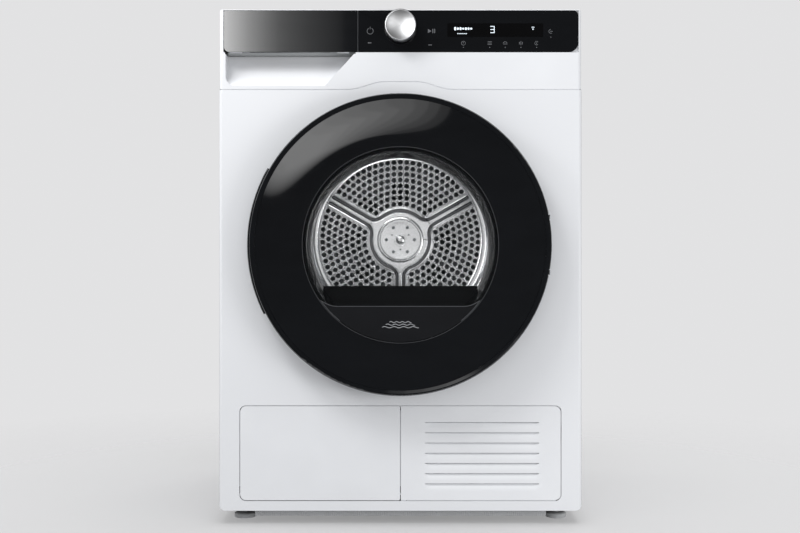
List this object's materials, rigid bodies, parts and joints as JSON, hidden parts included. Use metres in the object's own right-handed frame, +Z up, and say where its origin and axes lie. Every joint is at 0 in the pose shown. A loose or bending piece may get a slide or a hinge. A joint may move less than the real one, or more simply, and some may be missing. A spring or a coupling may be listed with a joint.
{
  "type": "clothes dryer",
  "caption": "Free-standing front-loading heat-pump clothes dryer with round glass door, drum, belt drive, pull-out water tank, service flap and levelling feet.",
  "frame": {"origin": "on the floor, in the middle of the footprint with the door closed", "axes": "+Z up, the front faces -Y, +X to the right of someone in front of it"},
  "size_m": [0.6, 0.645, 0.85],
  "materials": {
    "white_enamel": "smooth baked enamel, satin gloss",
    "white_plastic": "moulded, satin gloss",
    "worktop_laminate": "white laminated board",
    "gloss_black": "polished black",
    "window_glass": "smoked glass",
    "bowl_glass": "clear pressed glass",
    "brushed_aluminium": "spun, radial sheen",
    "drum_steel": "embossed stainless steel",
    "bright_steel": "machined",
    "galvanised_steel": "zinc coated sheet",
    "lifter_plastic": "grained",
    "grey_plastic": "grained",
    "tank_plastic": "blow moulded",
    "dark_plastic": "fine grain",
    "black_rubber": "matte",
    "foot_plastic": "grained",
    "copper_tube": "drawn copper",
    "aluminium_fins": "plain fins",
    "circuit_board": "solder mask",
    "compressor_paint": "satin black",
    "motor_steel": "lacquered",
    "blue_plastic": "moulded"
  },
  "bodies": {
    "cabinet": {"side_panel_left": "white_enamel", "side_panel_right": "white_enamel", "rear_panel": "galvanised_steel", "worktop": "worktop_laminate", "front_panel": "white_enamel", "fascia": "white_plastic", "control_strip": "gloss_black", "control_board": "circuit_board", "tank_bay": "grey_plastic", "base_tray": "dark_plastic", "front_bulkhead": "grey_plastic", "filter_housing": "dark_plastic", "mouth_seal": "black_rubber", "rear_duct_cover": "galvanised_steel", "rear_bearing": "bright_steel", "drive_belt": "black_rubber", "motor_stator": "motor_steel", "fan_housing": "dark_plastic", "compressor": "compressor_paint", "evaporator": "aluminium_fins", "condenser": "aluminium_fins", "refrigerant_pipes": "copper_tube", "drain_pump": "dark_plastic", "exchanger_cover": "grey_plastic", "louvre_grille": "white_plastic", "cooling_fan_motor": "dark_plastic", "latch_housing": "dark_plastic", "hinge_bracket": "bright_steel", "hinge_pin": "bright_steel", "mains_gland": "dark_plastic", "rear_screws": "bright_steel"},
    "door": {"door_rim": "gloss_black", "door_dish": "gloss_black", "door_window": "window_glass", "door_bowl": "bowl_glass", "door_back_ring": "dark_plastic", "door_hook": "bright_steel", "door_hinge_arm": "bright_steel"},
    "tank": {"tank_bottle": "tank_plastic", "tank_front": "gloss_black"},
    "knob": {"knob": "brushed_aluminium"},
    "flap": {"service_flap": "white_plastic"},
    "filter": {"lint_filter": "dark_plastic"},
    "drum": {"drum_shell": "drum_steel", "drum_back": "drum_steel", "drum_lifters": "lifter_plastic", "drum_axle": "bright_steel"},
    "rotor": {"motor_rotor": "bright_steel", "process_fan": "dark_plastic"},
    "tensioner_arm": {"tensioner_arm": "bright_steel"},
    "tensioner_pulley": {"tensioner_pulley": "dark_plastic"},
    "roller_left": {"roller_left": "black_rubber"},
    "roller_right": {"roller_right": "black_rubber"},
    "cooling_fan": {"cooling_fan": "dark_plastic"},
    "lock_left": {"lock_left": "blue_plastic"},
    "lock_right": {"lock_right": "blue_plastic"},
    "foot_front_left": {"foot_front_left": "foot_plastic"},
    "foot_front_right": {"foot_front_right": "foot_plastic"},
    "foot_rear_left": {"foot_rear_left": "foot_plastic"},
    "foot_rear_right": {"foot_rear_right": "foot_plastic"}
  },
  "joints": [
    {"name": "door_swing", "type": "hinge", "parent": "cabinet", "child": "door", "pos_m": [0.237, -0.3015, 0.461], "axis": [0, 0, 1], "range_deg": [0, 140]},
    {"name": "tank_pull", "type": "slide", "parent": "cabinet", "child": "tank", "axis": [0, -1, 0], "range_m": [0, 0.4]},
    {"name": "knob_turn", "type": "hinge", "parent": "cabinet", "child": "knob", "pos_m": [0, -0.2775, 0.821], "axis": [0, -1, 0], "continuous": true},
    {"name": "flap_open", "type": "hinge", "parent": "cabinet", "child": "flap", "pos_m": [-0.133, -0.2735, 0.049], "axis": [1, 0, 0], "range_deg": [0, 95]},
    {"name": "filter_lift", "type": "slide", "parent": "cabinet", "child": "filter", "axis": [0, 0, 1], "range_m": [0, 0.18]},
    {"name": "drum_spin", "type": "hinge", "parent": "cabinet", "child": "drum", "pos_m": [0, 0, 0.481], "axis": [0, 1, 0], "continuous": true},
    {"name": "rotor_spin", "type": "hinge", "parent": "cabinet", "child": "rotor", "pos_m": [0.185, -0.1125, 0.105], "axis": [0, 1, 0], "continuous": true},
    {"name": "tensioner_swing", "type": "hinge", "parent": "cabinet", "child": "tensioner_arm", "pos_m": [0.03034, -0.1005, 0.13186], "axis": [0, 1, 0], "range_deg": [0, 8], "stiffness_Nm_per_rad": 20, "springref_deg": -11.46},
    {"name": "tensioner_pulley_spin", "type": "hinge", "parent": "tensioner_arm", "child": "tensioner_pulley", "pos_m": [0.08602, -0.1125, 0.1095], "axis": [0, 1, 0], "continuous": true},
    {"name": "roller_left_spin", "type": "hinge", "parent": "cabinet", "child": "roller_left", "pos_m": [-0.15618, -0.1575, 0.2105], "axis": [0, 1, 0], "continuous": true},
    {"name": "roller_right_spin", "type": "hinge", "parent": "cabinet", "child": "roller_right", "pos_m": [0.15618, -0.1575, 0.2105], "axis": [0, 1, 0], "continuous": true},
    {"name": "cooling_fan_spin", "type": "hinge", "parent": "cabinet", "child": "cooling_fan", "pos_m": [0.135, -0.2235, 0.118], "axis": [0, 1, 0], "continuous": true},
    {"name": "lock_left_turn", "type": "hinge", "parent": "cabinet", "child": "lock_left", "pos_m": [-0.226, -0.2435, 0.166], "axis": [0, -1, 0], "range_deg": [0, 90]},
    {"name": "lock_right_turn", "type": "hinge", "parent": "cabinet", "child": "lock_right", "pos_m": [-0.042, -0.2435, 0.166], "axis": [0, -1, 0], "range_deg": [0, 90]},
    {"name": "foot_front_left_level", "type": "slide", "parent": "cabinet", "child": "foot_front_left", "axis": [0, 0, -1], "range_m": [0, 0.015]},
    {"name": "foot_front_right_level", "type": "slide", "parent": "cabinet", "child": "foot_front_right", "axis": [0, 0, -1], "range_m": [0, 0.015]},
    {"name": "foot_rear_left_level", "type": "slide", "parent": "cabinet", "child": "foot_rear_left", "axis": [0, 0, -1], "range_m": [0, 0.015]},
    {"name": "foot_rear_right_level", "type": "slide", "parent": "cabinet", "child": "foot_rear_right", "axis": [0, 0, -1], "range_m": [0, 0.015]}
  ],
  "couplings": [
    {"joint": "rotor_spin", "follows": "drum_spin", "ratio": 41},
    {"joint": "tensioner_pulley_spin", "follows": "drum_spin", "ratio": -13.046},
    {"joint": "roller_left_spin", "follows": "drum_spin", "ratio": -11.48},
    {"joint": "roller_right_spin", "follows": "drum_spin", "ratio": -11.48}
  ]
}
